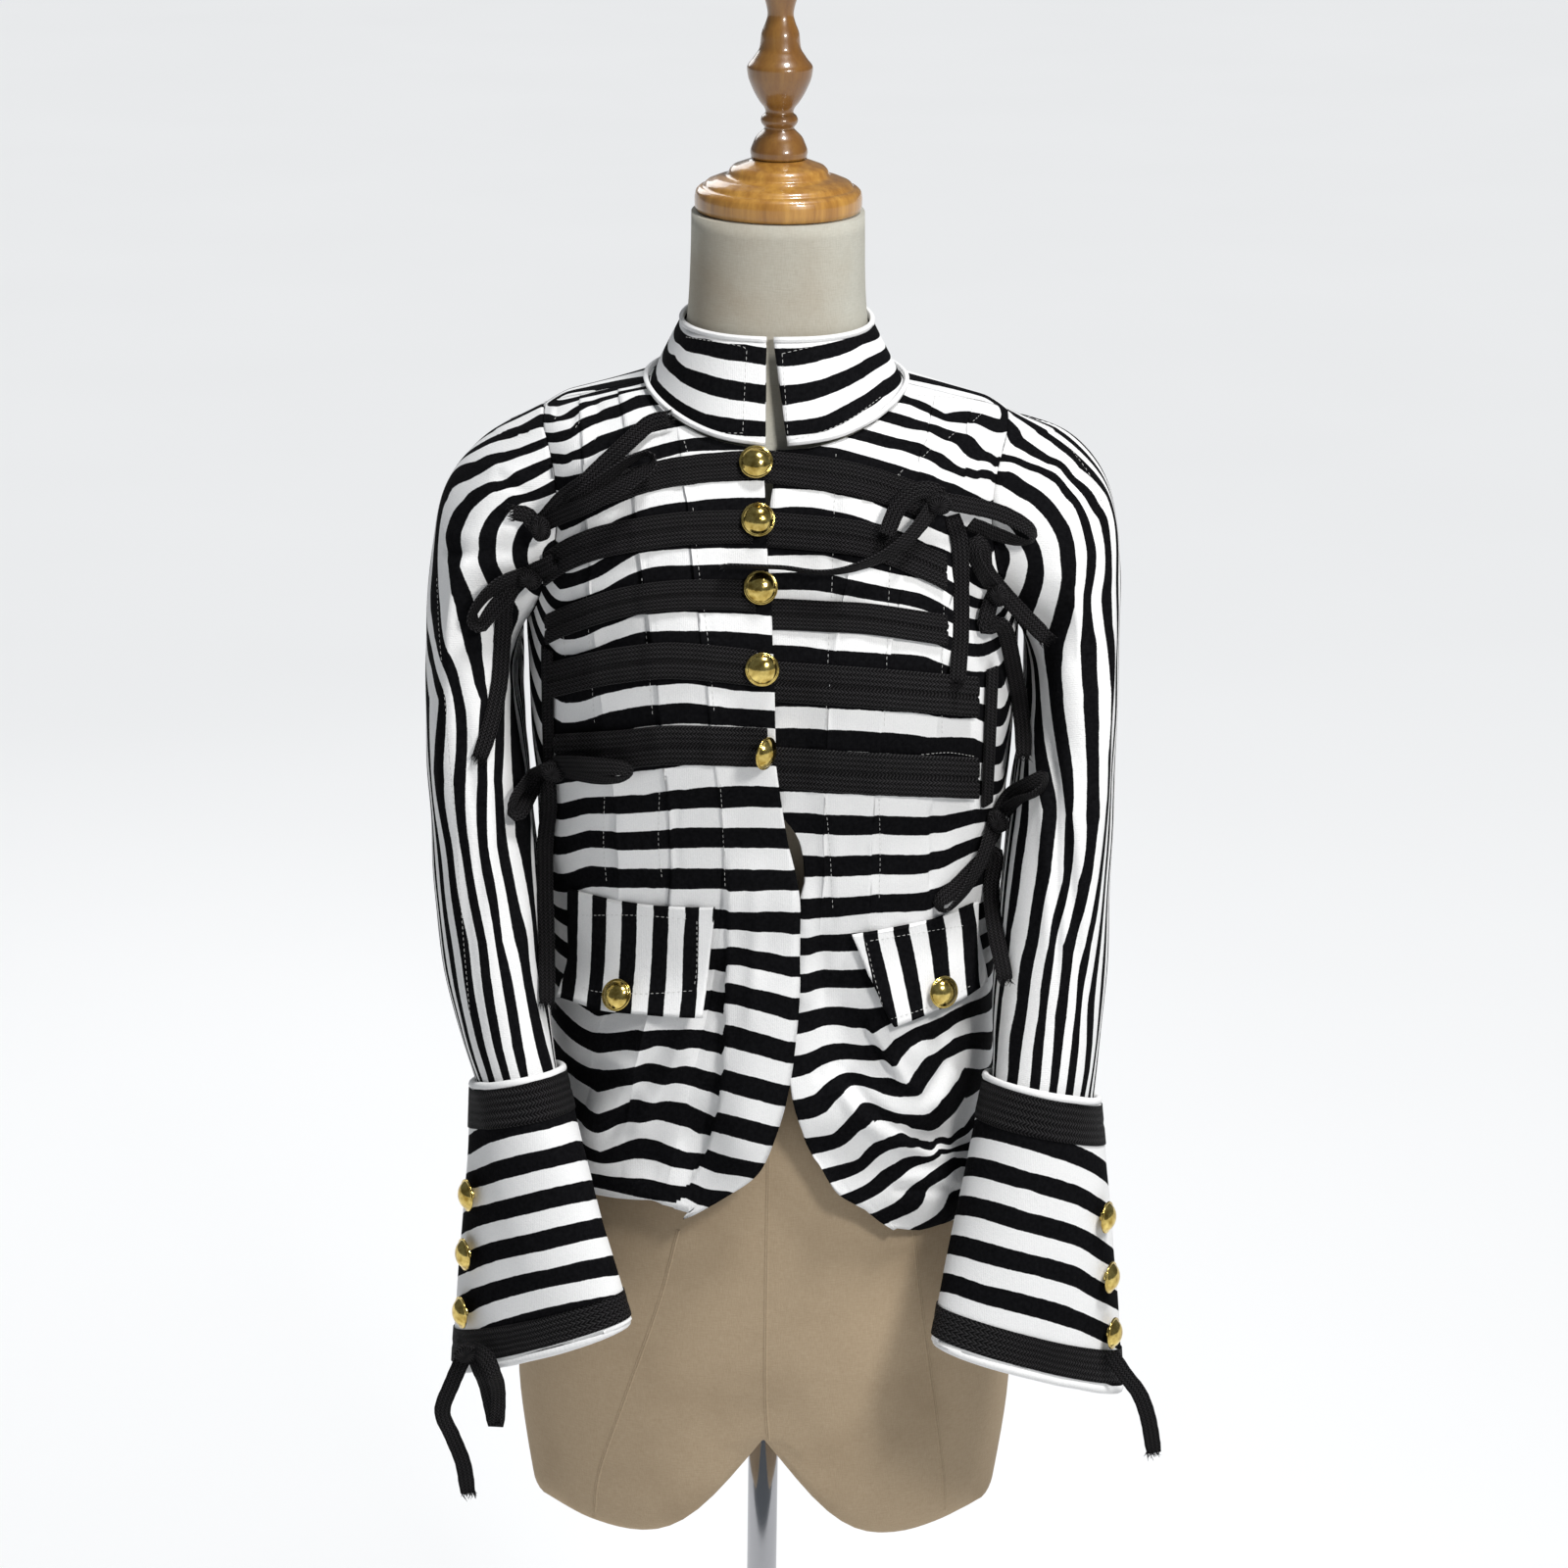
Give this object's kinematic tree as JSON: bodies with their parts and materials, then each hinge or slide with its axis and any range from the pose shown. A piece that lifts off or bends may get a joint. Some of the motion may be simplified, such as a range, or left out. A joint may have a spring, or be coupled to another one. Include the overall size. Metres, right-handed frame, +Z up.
{
  "type": "napoleon jacket on a limbless dress form",
  "caption": "Cropped stand-collar jacket in striped jersey with rows of braid, tied tapes, pocket flaps and flared cuffs, on a limbless dress form with a turned cap, pole and round foot.",
  "frame": {"origin": "centre of the foot's underside, on the floor", "axes": "+Z up along the pole; the jacket's front faces -Y; +X is the wearer's left"},
  "size_m": [0.477, 0.3367, 1.6293],
  "materials": {
    "striped_jersey": "thick fleecy knit with even black and white stripes",
    "white_jersey": "white knit, rolled into piping",
    "black_braid": "matt black herringbone tape",
    "gilt": "polished gilt metal",
    "linen": "plain weave, beige grey, seamed over the form",
    "oak": "turned and varnished, honey brown",
    "chrome": "polished tube",
    "foot_steel": "satin steel"
  },
  "bodies": {
    "root": {"back": "striped_jersey", "braid_left_1": "black_braid", "braid_left_2": "black_braid", "braid_left_3": "black_braid", "braid_left_4": "black_braid", "braid_left_5": "black_braid", "braid_right_1": "black_braid", "braid_right_2": "black_braid", "braid_right_3": "black_braid", "braid_right_4": "black_braid", "braid_right_5": "black_braid", "button_cuff_left_1": "gilt", "button_cuff_left_2": "gilt", "button_cuff_left_3": "gilt", "button_cuff_right_1": "gilt", "button_cuff_right_2": "gilt", "button_cuff_right_3": "gilt", "button_flap_left": "gilt", "button_flap_right": "gilt", "button_front_1": "gilt", "button_front_2": "gilt", "button_front_3": "gilt", "button_front_4": "gilt", "button_front_5": "gilt", "collar": "striped_jersey", "collar_piping_foot": "white_jersey", "collar_piping_top": "white_jersey", "cuff_band_foot_left": "black_braid", "cuff_band_foot_right": "black_braid", "cuff_band_top_left": "black_braid", "cuff_band_top_right": "black_braid", "cuff_left": "striped_jersey", "cuff_right": "striped_jersey", "cuff_tie_left": "black_braid", "cuff_tie_right": "black_braid", "finial": "oak", "flap_left": "striped_jersey", "flap_right": "striped_jersey", "foot": "foot_steel", "form_torso": "linen", "front_left": "striped_jersey", "front_right": "striped_jersey", "neck_cap": "oak", "pole": "chrome", "side_tape_left": "black_braid", "side_tape_right": "black_braid", "sleeve_left": "striped_jersey", "sleeve_right": "striped_jersey", "tie_left_1": "black_braid", "tie_left_2": "black_braid", "tie_left_3": "black_braid", "tie_left_4": "black_braid", "tie_right_1": "black_braid", "tie_right_2": "black_braid", "tie_right_3": "black_braid"}
  },
  "joints": []
}
